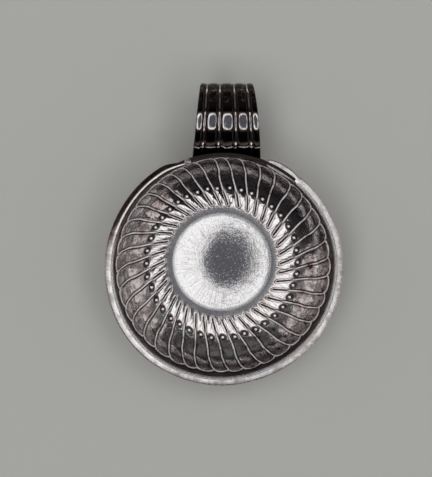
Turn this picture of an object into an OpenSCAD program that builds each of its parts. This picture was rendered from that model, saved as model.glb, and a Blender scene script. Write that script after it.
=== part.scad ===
// Tastevin: a shallow silver tasting cup with swirling flutes, a domed centre,
// an applied rim wire and a reeded strap handle. Sizes are in millimetres.
// Z is up, the handle points along +Y, and the cup stands on Z = 0.

/* [Bowl] */
// Radius over the rim wire
rim_r = 40; // [37:0.5:44]
// Height of the sheet's lip above the table
bowl_h = 20; // [18:0.5:23]
// Thickness of the hammered sheet
sheet = 1; // [0.8:0.1:1.3]
// Radius where the wall leaves the flat floor ring
base_r = 17.5; // [16.5:0.5:19]
// Slope at which the gentle lower bend of the wall turns into the tighter upper one
mid_slope = 38; // [34:1:42]
// Slope of the straight lip, measured from the table
lip_slope = 85; // [80:1:87]
// Length of the straight lip
lip_len = 3.9; // [3:0.1:5]
// Depth filed off the underside so that it stands flat
base_file = 0.2; // [0.1:0.05:0.3]

/* [Centre dome] */
// Width of the flat floor ring between the dome and the wall
floor_ring = 0.3; // [0.2:0.1:2]
// Rise of the dome from its own edge to its middle
dome_rise = 2.1; // [1.5:0.1:2.6]
// Height of the soft edge round the dome
step_h = 0.2; // [0.1:0.05:0.5]
// Width of that soft edge
step_w = 0.9; // [0.5:0.1:1.5]

/* [Flutes] */
// Number of swirling flutes, each with one bead
flute_count = 40; // [34:1:44]
// Turn of each ridge from the floor to its scallop, in degrees
swirl = 15.5; // [4:0.5:24]
// Height of the ridges between the flutes
ridge_h = 0.5; // [0.4:0.05:0.8]
// Rise of a flute's hollow from its middle to its ridges
hollow_h = 0.15; // [0.1:0.05:0.4]
// Width of a ridge at its foot, as a share of one flute
ridge_share = 0.18; // [0.12:0.01:0.22]
// Distance up the wall at which the flutes begin
flute_start = 1.8; // [1.2:0.1:2.4]
// Length over which a flute comes to its full depth
flute_fade = 1.7; // [1:0.1:2.5]
// Distance up the wall to the ring of beads
bead_at = 8.9; // [7:0.1:10]
// Radius of a bead
bead_r = 0.95; // [0.7:0.05:1.1]
// Height of a bead above its flute
bead_h = 0.85; // [0.5:0.05:1]
// Width of the plain band between the scallops and the lip
plain_band = 7.4; // [6.5:0.1:9]
// Drop from the bottom of a scallop to its corners
scallop_drop = 2.1; // [1:0.1:2.8]
// Half the width of a scallop's ridge at its foot
scallop_w = 0.8; // [0.5:0.05:1]

/* [Rim wire] */
// Width of the finished rim, from the sheet's inner edge outwards
rim_w = 2.2; // [2:0.1:2.8]
// Radius of the half-round wire
wire_r = 1.25; // [1:0.05:1.5]
// Height of the wire's crown above the lip
wire_up = 0.3; // [0.1:0.05:0.6]
// Gap left between the wire and the sheet for solder
wire_seat = 0.02; // [0.01:0.01:0.05]
// Radius of the ball that ends the wire on the left of the handle
ball_r = 1.4; // [1.3:0.05:1.6]
// Gap between the handle's solder and the ball
ball_gap = 0.2; // [0.1:0.1:1.5]
// Gap between the handle's solder and the flattened end on the right
tab_gap = 2.4; // [1:0.1:5]
// Length of the flattened end of the wire
tab_len = 8.6; // [7:0.1:10]
// Reach of the flattened end past the rim
tab_out = 0.9; // [0.5:0.1:1.3]
// Thickness of the flattened end
tab_t = 1; // [0.7:0.1:1.4]
// Height of the flattened end above the wire's crown
tab_up = 0.12; // [0.05:0.01:0.3]

/* [Handle strap] */
// Width of the strap where it leaves the wall
strap_w = 22.8; // [19:0.2:26]
// Width of the strap at its lower foot
strap_w_end = 14.3; // [9:0.1:16]
// Thickness of the strap under its reeds
strap_t = 1.2; // [0.9:0.1:1.6]
// Height of the reeds on the strap
reed_h = 0.5; // [0.3:0.05:0.7]
// Distance of the strap's middle to the right of the cup's middle
strap_side = 1; // [-2:0.1:2]
// Depth below the lip at which the strap meets the wall
root_drop = 2.5; // [2:0.1:3]
// Angle at which the strap rises from the wall
root_angle = 45; // [40:1:50]
// Straight length with which the strap leaves the wall
root_len = 5.1; // [4:0.1:7]
// Bend radius over the top of the strap
top_bend = 9.9; // [9:0.1:11]
// Angle down which the top bend runs
top_end = 20; // [14:1:26]
// Bend radius of the long back of the strap
back_bend = 22; // [18:0.5:28]
// Angle down which the back runs
back_end = 42; // [36:1:48]
// Bend radius of the strap's far end
far_bend = 6.5; // [5.5:0.1:7.5]
// Bend radius of the return under the finger
under_bend = 30; // [20:1:40]
// Upward angle at which the return meets the wall
foot_angle = 4; // [2:1:10]

/* [Solder] */
// Thickness of the solder between the strap and the wall
solder_t = 0.4; // [0.3:0.05:0.6]
// Width of solder that shows round the strap
solder_edge = 0.3; // [0.2:0.05:0.5]
// Gap between the strap's ends and the solder under them
solder_fit = 0.1; // [0.08:0.01:0.2]

/* [Hidden] */
$fn = 96;

// Inner profile of the wall: a gentle bend that leaves the floor level, a tighter bend
// and a straight lip. The two radii follow from the run and the rise that are left.
lip_r = rim_r - rim_w;
dome_r = base_r - floor_ring;
wall_run = lip_r - base_r - lip_len * cos(lip_slope);
wall_rise = bowl_h - sheet - lip_len * sin(lip_slope);
low_run = sin(mid_slope);
low_rise = 1 - cos(mid_slope);
high_run = sin(lip_slope) - sin(mid_slope);
high_rise = cos(mid_slope) - cos(lip_slope);
share_out = low_run * high_rise - high_run * low_rise;
low_bend = (wall_run * high_rise - high_run * wall_rise) / share_out;
high_bend = (low_run * wall_rise - low_rise * wall_run) / share_out;
low_len = low_bend * mid_slope * PI / 180;
bend_len = low_len + high_bend * (lip_slope - mid_slope) * PI / 180;
wall_len = bend_len + lip_len;

// Middles of the two bends, as radius and height
low_middle = [base_r, sheet + low_bend];
high_middle = low_middle + (low_bend - high_bend) * [sin(mid_slope), -cos(mid_slope)];

// Slope, radius and height of the inner face at a distance up the wall
function wall_slope(d) = d < low_len ? d / low_bend * 180 / PI
    : min(lip_slope, mid_slope + (d - low_len) / high_bend * 180 / PI);
function wall_bend(d) = d < low_len ? low_bend : high_bend;
function wall_middle(d) = d < low_len ? low_middle : high_middle;
function wall_r(d) = wall_middle(d)[0] + wall_bend(d) * sin(wall_slope(d))
    + max(0, d - bend_len) * cos(lip_slope);
function wall_z(d) = wall_middle(d)[1] - wall_bend(d) * cos(wall_slope(d))
    + max(0, d - bend_len) * sin(lip_slope);

// Places of the flutes' features up the wall
scallop_at = wall_len - plain_band;
corner_at = scallop_at - scallop_drop;
flute_full = flute_start + flute_fade;
flute_angle = 360 / flute_count;

// Turn of the ridges at a distance up the wall, quick at first and slower later
swirl_power = 1.47;
function swirl_share(d) = min(1, max(0, (d - flute_start) / (corner_at - flute_start)));
function turn_at(d) = swirl * (1 - pow(1 - swirl_share(d), swirl_power));

// Six lines run up each flute: its ridge, the ridge's two feet, the two sides
// of its bead and its middle, each given as a share of the flute
side_share = 0.29;
lines = [0, ridge_share / 2, side_share, 0.5, 1 - side_share, 1 - ridge_share / 2];
line_count = len(lines);
ridge_line = 0;
middle_line = 3;
ring_count = flute_count * line_count;

// Height of the flute's section over the plain wall
function hollow(share) = hollow_h * pow(2 * share - 1, 2);
function relief(line) = line == ridge_line ? ridge_h : hollow(lines[line]);

// Rounded outline of a scallop: 0 at its corners and 1 at its bottom
function scallop_curve(share) = sqrt(1 - pow(2 * share - 1, 2));

// One point of the sheet: place up the wall, share of the flute, height and flute number
function sheet_point(d, share, rise, flute, depth) =
    let (r = wall_r(d) - (rise - depth) * sin(wall_slope(d)))
    let (z = wall_z(d) + (rise - depth) * cos(wall_slope(d)))
    let (a = flute_angle * (flute + share) + turn_at(d))
    [r * cos(a), r * sin(a), z];

// A plain ring round the wall with the flutes at a share of their height
function flute_ring(d, height, depth) =
    [for (f = [0:flute_count - 1], n = [0:line_count - 1])
        sheet_point(d, lines[n], height * relief(n), f, depth)];

// A ring through the beads: row -1, 0 or 1 passes below, over or above their middles
function bead_row(row) = [for (f = [0:flute_count - 1], n = [0:line_count - 1])
    let (side = n - middle_line)
    let (near = abs(side) <= 1)
    let (reach = side != 0 && row != 0 ? bead_r * sqrt(0.5) : bead_r)
    let (d = near ? bead_at + row * reach : bead_at + row * bead_r)
    let (pitch = 2 * PI * wall_r(d) / flute_count)
    let (share = near ? 0.5 + side * reach / pitch : lines[n])
    let (top = side == 0 && row == 0)
    sheet_point(d, share, top ? bead_h : near ? hollow(share) : relief(n), f, 0)];

// A ring along the scallops: row -1, 0 or 1 lies inside, on or outside their ridge
function scallop_row(row) = [for (f = [0:flute_count - 1], n = [0:line_count - 1])
    let (d = corner_at + scallop_drop * scallop_curve(lines[n]) + row * scallop_w)
    let (rise = row == 0 ? ridge_h : row < 0 ? relief(n) : 0)
    sheet_point(d, lines[n], rise, f, 0)];

// Rings of the inner face from the floor to the lip
middle_from = bead_at + 2 * bead_r;
middle_to = corner_at - 2 * scallop_w;
middle_rows = 3;
inner_rings = concat(
    [flute_ring(0, 0, 0), flute_ring(flute_start, 0, 0), flute_ring(flute_full, 1, 0)],
    [for (row = [-1:1]) bead_row(row)],
    [for (m = [0:middle_rows - 1])
        flute_ring(middle_from + (middle_to - middle_from) * (m + 0.5) / middle_rows, 1, 0)],
    [for (row = [-1:1]) scallop_row(row)],
    [flute_ring(bend_len, 0, 0), flute_ring(wall_len, 0, 0)]
);

// Rings of the outer face from the lip down to the floor, where the flutes show as lobes
outer_rows = 4;
outer_rings = concat(
    [flute_ring(wall_len, 0, sheet), flute_ring(bend_len, 0, sheet)],
    [flute_ring(scallop_at, 0, sheet)],
    [for (m = [outer_rows:-1:0])
        flute_ring(flute_full + (corner_at - scallop_w - flute_full) * m / outer_rows, 1, sheet)],
    [flute_ring(0, 0, sheet + base_file)]
);

// Rings of the domed centre, one point to a flute
dome_edge_r = dome_r - step_w;
dome_half_r = dome_edge_r * 0.55;
function dome_z(r) = sheet + step_h + dome_rise * (1 - pow(r / dome_edge_r, 2));
function dome_ring(r, z) =
    [for (f = [0:flute_count - 1]) [r * cos(flute_angle * f), r * sin(flute_angle * f), z]];
dome_top_rings = [
    dome_ring(dome_half_r, dome_z(dome_half_r)),
    dome_ring(dome_edge_r, dome_z(dome_edge_r)),
    dome_ring(dome_r, sheet)
];
dome_low_rings = [
    dome_ring(dome_r, -base_file),
    dome_ring(dome_edge_r, dome_z(dome_edge_r) - sheet),
    dome_ring(dome_half_r, dome_z(dome_half_r) - sheet)
];

// Faces between two rings of n points that start at a and b
function band(a, b, n) = [for (j = [0:n - 1])
    let (k = (j + 1) % n)
    each [[a + j, b + k, b + j], [a + j, a + k, b + k]]];

// Faces from a ring of n points at a to a ring of n * line_count points at b,
// turned over for the underside
function fan_band(a, b, n, under) = [for (j = [0:n - 1])
    let (k = (j + 1) % n)
    let (m = line_count * n)
    let (half = line_count / 2)
    each concat(
        [for (i = [-half:half - 1])
            let (p = b + (j * line_count + i + m) % m)
            let (q = b + (j * line_count + i + 1 + m) % m)
            under ? [a + j, p, q] : [a + j, q, p]],
        [let (p = b + (j * line_count + half) % m) under ? [a + j, p, a + k] : [a + j, a + k, p]]
    )];

// Faces from one middle point to a ring of n points at a
function cap(point, a, n, under) = [for (j = [0:n - 1])
    let (k = (j + 1) % n)
    under ? [point, a + j, a + k] : [point, a + k, a + j]];

module bowl_sheet() {
    dome_count = len(dome_top_rings);
    wall_rings = concat(inner_rings, outer_rings);
    wall_from = 1 + dome_count * flute_count;
    low_from = wall_from + len(wall_rings) * ring_count;
    low_point = low_from + dome_count * flute_count;
    points = concat(
        [[0, 0, dome_z(0)]],
        [for (ring = dome_top_rings) each ring],
        [for (ring = wall_rings) each ring],
        [for (ring = dome_low_rings) each ring],
        [[0, 0, dome_z(0) - sheet]]
    );
    faces = concat(
        cap(0, 1, flute_count, false),
        [for (i = [0:dome_count - 2])
            each band(1 + i * flute_count, 1 + (i + 1) * flute_count, flute_count)],
        fan_band(wall_from - flute_count, wall_from, flute_count, false),
        [for (i = [0:len(wall_rings) - 2])
            each band(wall_from + i * ring_count, wall_from + (i + 1) * ring_count, ring_count)],
        fan_band(low_from, low_from - ring_count, flute_count, true),
        [for (i = [0:dome_count - 2])
            each band(low_from + i * flute_count, low_from + (i + 1) * flute_count, flute_count)],
        cap(low_point, low_point - flute_count, flute_count, true)
    );
    polyhedron(points, faces);
}

// The plain outer face of the bowl, grown by a margin: the places where its lower bend
// turns into the upper one and the upper one into the straight lip, and its radius
function back(margin) = sheet + margin;
function low_turn(margin) = low_middle
    + (low_bend + back(margin)) * [sin(mid_slope), -cos(mid_slope)];
function high_turn(margin) = high_middle
    + (high_bend + back(margin)) * [sin(lip_slope), -cos(lip_slope)];
function round_r(middle, radius, z) = middle[0] + sqrt(pow(radius, 2) - pow(middle[1] - z, 2));
function outer_r(z, margin) =
    z > high_turn(margin)[1] ? high_turn(margin)[0] + (z - high_turn(margin)[1]) / tan(lip_slope)
    : z > low_turn(margin)[1] ? round_r(high_middle, high_bend + back(margin), z)
    : round_r(low_middle, low_bend + back(margin), z);

// The part of a round bend's section that lies between two heights
module bend_space(middle, radius, from_z, to_z) {
    intersection() {
        translate(middle) circle(radius);
        translate([0, from_z]) square([2 * rim_r, to_z - from_z]);
    }
}

// Half section of the space inside the outer face, with the lip carried on upwards.
// The upper bend reaches a hair too far, so that it crosses its neighbours cleanly.
hair = 0.001;
module bowl_profile(margin) {
    low_z = low_turn(margin)[1];
    top_z = 2 * bowl_h;
    bend_space(low_middle, low_bend + back(margin), -margin, low_z);
    bend_space(high_middle, high_bend + back(margin) + hair, low_z - sheet, top_z);
    polygon([
        [0, -margin], [base_r, -margin], low_turn(margin), high_turn(margin),
        [outer_r(top_z, margin), top_z], [0, top_z]
    ]);
}

module bowl_space(margin) {
    rotate_extrude() bowl_profile(margin);
}

// The path of the strap's crown, in Y and Z, is a straight root, a chain of tangent bends
// and a straight foot
root_z = bowl_h - root_drop;
root_y = outer_r(root_z, solder_t + solder_fit);
bends_from = [root_y, root_z] + root_len * [cos(root_angle), sin(root_angle)];

// Each entry is a bend radius and the angle at which the bend ends
bends = [
    [top_bend, -top_end],
    [back_bend, -back_end],
    [far_bend, -180],
    [under_bend, -180 - foot_angle]
];

function bend_start(i) = i == 0 ? root_angle : bends[i - 1][1];
function bend_from(i) = i == 0 ? bends_from : bend_point(i - 1, bends[i - 1][1]);
function bend_point(i, a) = bend_from(i)
    + bends[i][0] * [sin(bend_start(i)) - sin(a), cos(a) - cos(bend_start(i))];
function bend_length(i) = bends[i][0] * (bend_start(i) - bends[i][1]) * PI / 180;
bend_count = len(bends);
function length_before(i) = i == 0 ? root_len : length_before(i - 1) + bend_length(i - 1);

// The last bend ends in a straight foot that runs on to the wall
foot_turn = bends[bend_count - 1][1];
foot_from = bend_point(bend_count - 1, foot_turn);
foot_len = foot_from[0] - outer_r(foot_from[1], solder_t);
strap_len = length_before(bend_count) + foot_len;

// Stations along the strap: place, direction and width. Each bend is cut into equal
// steps, and the far end of the strap lies on a step of its bend.
bend_steps = [10, 5, 22, 2];
far_step = 8;
function width_at(length) = strap_w + (strap_w_end - strap_w) * length / strap_len;
function step_angle(i, n) =
    i != 2 ? bend_start(i) + (bends[i][1] - bend_start(i)) * n / bend_steps[i]
    : n <= far_step ? bend_start(i) + (-90 - bend_start(i)) * n / far_step
    : -90 + (bends[i][1] + 90) * (n - far_step) / (bend_steps[i] - far_step);
stations = [for (i = [0:bend_count - 1], n = [i == 0 ? 0 : 1:bend_steps[i]])
    let (a = step_angle(i, n))
    let (length = length_before(i) + bends[i][0] * (bend_start(i) - a) * PI / 180)
    [bend_point(i, a), a, width_at(length)]];
root_station = [[root_y, root_z], root_angle, strap_w];
foot_station = [foot_from, foot_turn, strap_w_end];

// A point of the strap: share of the width and height over the crown at a station
function strap_point(station, p) =
    let (out = [-sin(station[1]), cos(station[1])])
    [strap_side - p[0] * station[2], station[0][0] + p[1] * out[0], station[0][1] + p[1] * out[1]];

// Where a line that leaves a point runs into the solder on the bowl, found by halving
// the stretch between a length that is still outside and one that is already inside
halvings = 30;
function is_outside(p) = norm([p[0], p[1]]) > outer_r(p[2], solder_t + solder_fit);
function meeting(p, way, out, in, left) =
    left == 0 ? p + out * way
    : is_outside(p + (out + in) / 2 * way) ? meeting(p, way, (out + in) / 2, in, left - 1)
    : meeting(p, way, out, (out + in) / 2, left - 1);
function along(station) = [0, cos(station[1]), sin(station[1])];
function root_end(p) =
    meeting(strap_point(root_station, p), along(root_station), strap_t, -base_r, halvings);
function foot_end(p) =
    meeting(strap_point(foot_station, p), along(foot_station), 0, rim_r, halvings);

// Section of the strap: broad reeds with narrow threads between them, as shares of the
// width in hundredths, and the steps that round each one. The flat back has one point
// under each end of a reed.
reed_shares = [12, 6, 15, 6, 22, 6, 15, 6, 12];
reed_steps = [3, 2, 5, 2, 6, 2, 5, 2, 3];
reed_count = len(reed_shares);
function share_before(i) = i == 0 ? 0 : share_before(i - 1) + reed_shares[i - 1];
function steps_before(i) = i == 0 ? 0 : steps_before(i - 1) + reed_steps[i - 1];
reed_points = concat(
    [for (i = [0:reed_count - 1], n = [0:reed_steps[i] - 1])
        let (part = n / reed_steps[i])
        [(share_before(i) + reed_shares[i] * part) / 100 - 0.5, reed_h * (sin(180 * part) - 1)]],
    [[0.5, -reed_h]]
);
back_points = [for (i = [reed_count:-1:0]) [share_before(i) / 100 - 0.5, -reed_h - strap_t]];
section = concat(reed_points, back_points);

// Faces that close an end of the strap, reed by reed, from the points that start at a
function strap_cap(a, turned) = [for (i = [0:reed_count - 1])
    let (low = a + len(section) - 1 - i)
    each concat(
        [for (n = [steps_before(i):steps_before(i + 1) - 1])
            turned ? [low, a + n, a + n + 1] : [low, a + n + 1, a + n]],
        [let (n = a + steps_before(i + 1)) turned ? [low, n, low - 1] : [low, low - 1, n]]
    )];

module strap_sweep() {
    n = len(section);
    rows = concat(
        [[for (p = section) root_end(p)]],
        [for (s = stations) [for (p = section) strap_point(s, p)]],
        [[for (p = section) foot_end(p)]]
    );
    faces = concat(
        strap_cap(0, false),
        [for (i = [0:len(rows) - 2]) each band(i * n, (i + 1) * n, n)],
        strap_cap((len(rows) - 1) * n, true)
    );
    polyhedron([for (row = rows) each row], faces);
}

// The strap reaches furthest along +Y at the far end of its path, so the frame's origin
// lies midway between that and the rim
frame_y = (bend_point(2, -90)[0] - rim_r) / 2;
module placed() {
    translate([0, -frame_y, 0]) children();
}

// A block that holds one end of the strap and the solder round it
module end_block(point, station) {
    depth = strap_t + reed_h + 2 * solder_edge;
    width = station[2] + 2 * solder_edge;
    translate(point)
        rotate([station[1], 0, 0])
            translate([-width / 2, -strap_w / 2, solder_edge - depth])
                cube([width, strap_w, depth]);
}

// The layer of solder over the outer face of the bowl that a block holds
module solder_layer() {
    intersection() {
        children();
        difference() {
            bowl_space(solder_t);
            bowl_space(0);
        }
    }
}

module bowl() {
    color("silver") placed() difference() {
        bowl_sheet();
        translate([-rim_r, -rim_r, -rim_r]) cube([2 * rim_r, 2 * rim_r, rim_r]);
    }
}

// The wire's centre, and the places of its two ends beside the handle
wire_x = rim_r - wire_r;
wire_z = bowl_h + wire_up - wire_r;
solder_x = strap_w / 2 + solder_edge;
ball_angle = 90 + asin((solder_x - strap_side + ball_gap + ball_r) / wire_x);
tab_angle = 90 - asin((solder_x + strap_side + tab_gap + tab_len / 2) / wire_x);

// The flattened end's outline is a disc that reaches past the rim and meets
// the sheet at both ends of its length
tab_edge = rim_r + tab_out - lip_r - sheet;
tab_disc_r = (pow(tab_len / 2, 2) + pow(tab_edge, 2)) / (2 * tab_edge);

module rim_wire() {
    color("gainsboro") placed() difference() {
        union() {
            rotate([0, 0, ball_angle])
                rotate_extrude(angle = 360 + tab_angle - ball_angle)
                    translate([wire_x, wire_z]) circle(wire_r);
            rotate([0, 0, ball_angle]) translate([wire_x, 0, wire_z])
                rotate([0, 90, 0]) sphere(ball_r);
            rotate([0, 0, tab_angle])
                translate([rim_r + tab_out - tab_disc_r, 0, bowl_h + wire_up + tab_up - tab_t])
                    cylinder(r = tab_disc_r, h = tab_t);
        }
        bowl_space(wire_seat);
    }
}

module handle_strap() {
    color("lightgray") placed() strap_sweep();
}

module upper_solder() {
    color("gray") placed() solder_layer() end_block(root_end([0, 0]), root_station);
}

module lower_solder() {
    color("gray") placed() solder_layer() end_block(foot_end([0, 0]), foot_station);
}

bowl();
rim_wire();
handle_strap();
upper_solder();
lower_solder();
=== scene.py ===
# %% [markdown]
# # A silver tastevin
# A tastevin is the shallow cup that a cellarman tastes wine from. Its fluted wall and
# domed floor throw light through the wine. The solid model is loaded first as a fixed
# frame in metres, and each piece below stands for one of its solids.

# %% The frame
import math
import random

import bmesh
import bpy
from mathutils import Matrix, Vector


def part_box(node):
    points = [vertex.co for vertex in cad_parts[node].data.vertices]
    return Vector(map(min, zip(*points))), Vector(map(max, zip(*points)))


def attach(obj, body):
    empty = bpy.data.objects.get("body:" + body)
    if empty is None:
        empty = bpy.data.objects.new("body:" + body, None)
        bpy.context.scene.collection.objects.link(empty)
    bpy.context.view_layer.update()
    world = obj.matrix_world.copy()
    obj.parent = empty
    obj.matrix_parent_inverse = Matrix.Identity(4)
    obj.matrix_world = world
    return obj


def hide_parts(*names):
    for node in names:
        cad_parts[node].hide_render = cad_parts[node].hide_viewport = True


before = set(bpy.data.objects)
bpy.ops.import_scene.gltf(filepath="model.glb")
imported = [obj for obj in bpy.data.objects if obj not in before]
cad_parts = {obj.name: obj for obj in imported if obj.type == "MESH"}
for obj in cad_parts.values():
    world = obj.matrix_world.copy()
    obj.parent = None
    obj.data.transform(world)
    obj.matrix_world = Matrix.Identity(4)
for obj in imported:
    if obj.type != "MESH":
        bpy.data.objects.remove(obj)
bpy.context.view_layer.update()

MM = 0.001
bowl_low, bowl_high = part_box("bowl")
AXIS_Y = (bowl_low.y + bowl_high.y) / 2 / MM
LIP_Z = bowl_high.z / MM
for name in sorted(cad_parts):
    low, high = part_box(name)
    print(name, "measures", [round(side / MM, 1) for side in high - low], "mm")
print("bowl axis at y", round(AXIS_Y, 2), "mm, lip at", round(LIP_Z, 2), "mm")

# %% [markdown]
# ## The camera
# The photograph looks almost straight down into the bowl, from a little on the handle's
# side. A camera can be turned by angles or aimed by its own three axes. Aiming by axes
# keeps the handle at the top, which angles near the vertical make hard to see.

# %% Camera
CAMERA_LEANS = (math.radians(-1.6), math.radians(6.2))
CAMERA_AWAY = 0.330
CAMERA_LENS = 74.1

bpy.context.scene.view_settings.view_transform = "Standard"
aim = Vector((-2.7, AXIS_Y + 10.5, LIP_Z)) * MM
back = Vector((math.sin(CAMERA_LEANS[0]), math.sin(CAMERA_LEANS[1]), 1)).normalized()
right = Vector((0, 1, 0)).cross(back).normalized()
upward = back.cross(right)
camera_turn = Matrix((right, upward, back)).transposed().to_4x4()
camera_data = bpy.data.cameras.new("overhead")
camera_data.lens = CAMERA_LENS
camera = bpy.data.objects.new("overhead", camera_data)
camera.matrix_world = Matrix.Translation(aim + back * CAMERA_AWAY) @ camera_turn
bpy.context.scene.collection.objects.link(camera)
bpy.context.scene.camera = camera
print("camera at", [round(value, 3) for value in camera.location])

# %% [markdown]
# ## The bowl's wall
# The bowl was raised from one sheet: a domed floor in a flat ring, a wall that curves up
# like a saucer, and a straight lip. A drawn curve could give its profile, but four bends
# that follow each other give slopes that can be measured. The distance along the profile
# is called the reach here. It is below zero on the floor.

# %% Wall bends
FLOOR_R = 17.5
LIP_R = 37.8
SHEET = 1.0
WALL_BENDS = [(13.0, math.radians(10.5)), (46.0, math.radians(17.5))]
MID_SLOPE = math.radians(38)
LIP_SLOPE = math.radians(85)
LIP_RUN = 3.9


def bend_step(bend, start, ending):
    """How far out and up a bend goes between two slopes."""
    return bend * (math.sin(ending) - math.sin(start)), bend * (math.cos(start) - math.cos(ending))


def last_bends(run, rise):
    """Radii of the two upper bends that still have to reach the lip."""
    slope = 0.0
    for bend, ending in WALL_BENDS:
        out, up = bend_step(bend, slope, ending)
        run, rise, slope = run - out, rise - up, ending
    run -= LIP_RUN * math.cos(LIP_SLOPE)
    rise -= LIP_RUN * math.sin(LIP_SLOPE)
    mid_out, mid_up = bend_step(1.0, slope, MID_SLOPE)
    top_out, top_up = bend_step(1.0, MID_SLOPE, LIP_SLOPE)
    whole = mid_out * top_up - top_out * mid_up
    return (run * top_up - top_out * rise) / whole, (mid_out * rise - mid_up * run) / whole


middle_bend, upper_bend = last_bends(LIP_R - FLOOR_R, LIP_Z - SHEET)
WALL_BENDS += [(middle_bend, MID_SLOPE), (upper_bend, LIP_SLOPE)]
LIP_REACH = LIP_RUN
for (bend, ending), start in zip(WALL_BENDS, [0.0] + [ending for bend, ending in WALL_BENDS]):
    LIP_REACH += bend * (ending - start)
print("wall bends at", [round(bend, 1) for bend, ending in WALL_BENDS], "mm")
print("wall is", round(LIP_REACH, 2), "mm from floor to lip")

# %% [markdown]
# Two helpers follow the profile to any reach. The dome in the floor is added to the
# height. Its edge is a soft bend and not a sharp step, because the sheet was pushed up
# from below and then scoured.

# %% Follow the wall
DOME_R = 17.2
DOME_RISE = 2.22
DOME_ROUND = 13.0
DOME_SOFT = 0.08
DOME_PAST = -0.5


def wall_slope(reach):
    """Slope of the inner face at a reach, in radians."""
    slope = 0.0
    for bend, ending in WALL_BENDS:
        turned = min(ending, slope + max(0.0, reach) / bend)
        reach -= bend * (turned - slope)
        slope = turned
    return slope


def wall_place(reach):
    """Radius and height of the inner face at a reach, in mm."""
    radius, height, slope = FLOOR_R + min(reach, 0.0), SHEET, 0.0
    reach = max(0.0, reach)
    for bend, ending in WALL_BENDS:
        turned = min(ending, slope + reach / bend)
        out, up = bend_step(bend, slope, turned)
        radius, height = radius + out, height + up
        reach -= bend * (turned - slope)
        slope = turned
    radius += reach * math.cos(slope)
    height += reach * math.sin(slope)
    fallen = math.log(math.cosh(radius / DOME_ROUND)) / math.log(math.cosh(DOME_R / DOME_ROUND))
    dome = DOME_RISE * (1 - fallen)
    if dome > DOME_PAST:
        height += DOME_SOFT * math.log1p(math.exp(dome / DOME_SOFT))
    return radius, height


print("dome stands", round(wall_place(-FLOOR_R)[1] - SHEET, 2), "mm above the ring")

# %% [markdown]
# ## The swirl of the flutes
# Forty ridges leave the floor and lean round the wall as they rise, with a shallow hollow
# panel between each two. Near the top a ridge hooks round into the panel's scalloped end,
# below the plain lip. The lines could be drawn as curves and pressed in, but a rule for
# the turn at each reach is easier to fit to a photograph. Hand work is never even, so
# every flute gets its own small error from a seeded generator.

# %% Turn of the flutes
FLUTES = 40
FLUTE_TURN = 2 * math.pi / FLUTES
SWIRL_START = 1.9
SWIRL_RUN = 17.7
SWIRL_TURN = math.radians(13)
SWIRL_POWER = 1.618
SCALLOP_REACH = 22.4
SCALLOP_DROP = 2.5
SCALLOP_CLIMB = 0.8
HOOK_START = 16.8
HOOK_TURN = math.radians(5.4)
HOOK_END = 0.9
BULGE_TURN = math.radians(0.5)
BULGE_RUN = 2.2
DRIFT_WAVES = [(1, 1.15, 0.59), (2, 1.89, -0.41), (3, 0.63, 3.40)]
ERROR_KEYS = ("turn", "drop", "height", "bead")
hand = random.Random(11)
flute_error = [{key: hand.gauss(0, 1) for key in ERROR_KEYS} for flute in range(FLUTES)]
for flute, error in enumerate(flute_error):
    error["high"] = SCALLOP_CLIMB * math.sin(FLUTE_TURN * (flute + 2)) ** 2


def swirl(reach):
    """How far a ridge has turned round the bowl at a reach, with a hook at its outer end."""
    done = min(1.0, max(0.0, (reach - SWIRL_START) / SWIRL_RUN))
    start, ending = wall_place(HOOK_START)[0], wall_place(SCALLOP_REACH + SCALLOP_DROP)[0]
    hooked = min(HOOK_END, max(0.0, (wall_place(reach)[0] - start) / (ending - start)))
    bulge = BULGE_TURN * math.exp(-((reach - HOOK_START) / BULGE_RUN) ** 2)
    hook = HOOK_TURN * (1 - math.sqrt(1 - hooked ** 2))
    return SWIRL_TURN * (1 - (1 - done) ** SWIRL_POWER) - bulge + hook


def slow_waves(angle, rows):
    """Waves round the bowl added up. Each row gives a count, a size and a phase."""
    return sum(size * math.sin(count * angle + phase) for count, size, phase in rows)


def drift(angle):
    """How far the flutes were marked out of their even places."""
    return math.radians(slow_waves(angle, DRIFT_WAVES))


print("a ridge turns", round(math.degrees(swirl(SCALLOP_REACH)), 1), "degrees up to its scallop")

# %% [markdown]
# Each panel ends in a round scallop. One half of it is a quarter of an ellipse, which the
# hooked ridge runs into, and the other half falls away more gently to the next ridge. The
# distance past this edge decides where the panel stops and where the raised line lies.

# %% Scalloped ends
SCALLOP_FALL = 0.75
SCALLOP_POWER = 2.4
SCALLOP_ERROR = 0.25
LEAN_STEP = 0.02
STEEPEST = 30


def ease(value):
    """Smooth step from 0 to 1."""
    value = min(1.0, max(0.0, value))
    return value * value * (3 - 2 * value)


def scallop_edge(share, error):
    """Reach of the panel's round end at a share of its width."""
    if share < 0.5:
        bow = math.sqrt(max(0.0, 1 - (1 - 2 * share) ** 2))
    else:
        bow = 1 - SCALLOP_FALL * (2 * share - 1) ** SCALLOP_POWER
    return SCALLOP_REACH + error["high"] + (SCALLOP_DROP + SCALLOP_ERROR * error["drop"]) * bow


def past_scallop(share, reach, flute):
    """Distance past the panel's round end in mm, below zero on the panel."""
    error = flute_error[flute]
    pitch = FLUTE_TURN * wall_place(reach)[0]
    before, after = max(0.0, share - LEAN_STEP), min(1.0, share + LEAN_STEP)
    lean = (scallop_edge(after, error) - scallop_edge(before, error)) / (2 * LEAN_STEP * pitch)
    return (reach - scallop_edge(share, error)) / math.sqrt(1 + min(lean * lean, STEEPEST))


scallop_end = scallop_edge(0.5, flute_error[0])
print("scallop runs from", SCALLOP_REACH, "to", round(scallop_end, 2), "mm up the wall")

# %% [markdown]
# The pattern is drawn with a round-ended chasing tool, which leaves thin raised lines
# on smooth panels. A raised cosine gives such a line. Cutting the lines in as faces would
# need a new mesh for every change, so the height is worked out point by point from the
# distance to each line. A small knob marks where a ridge starts.

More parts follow.
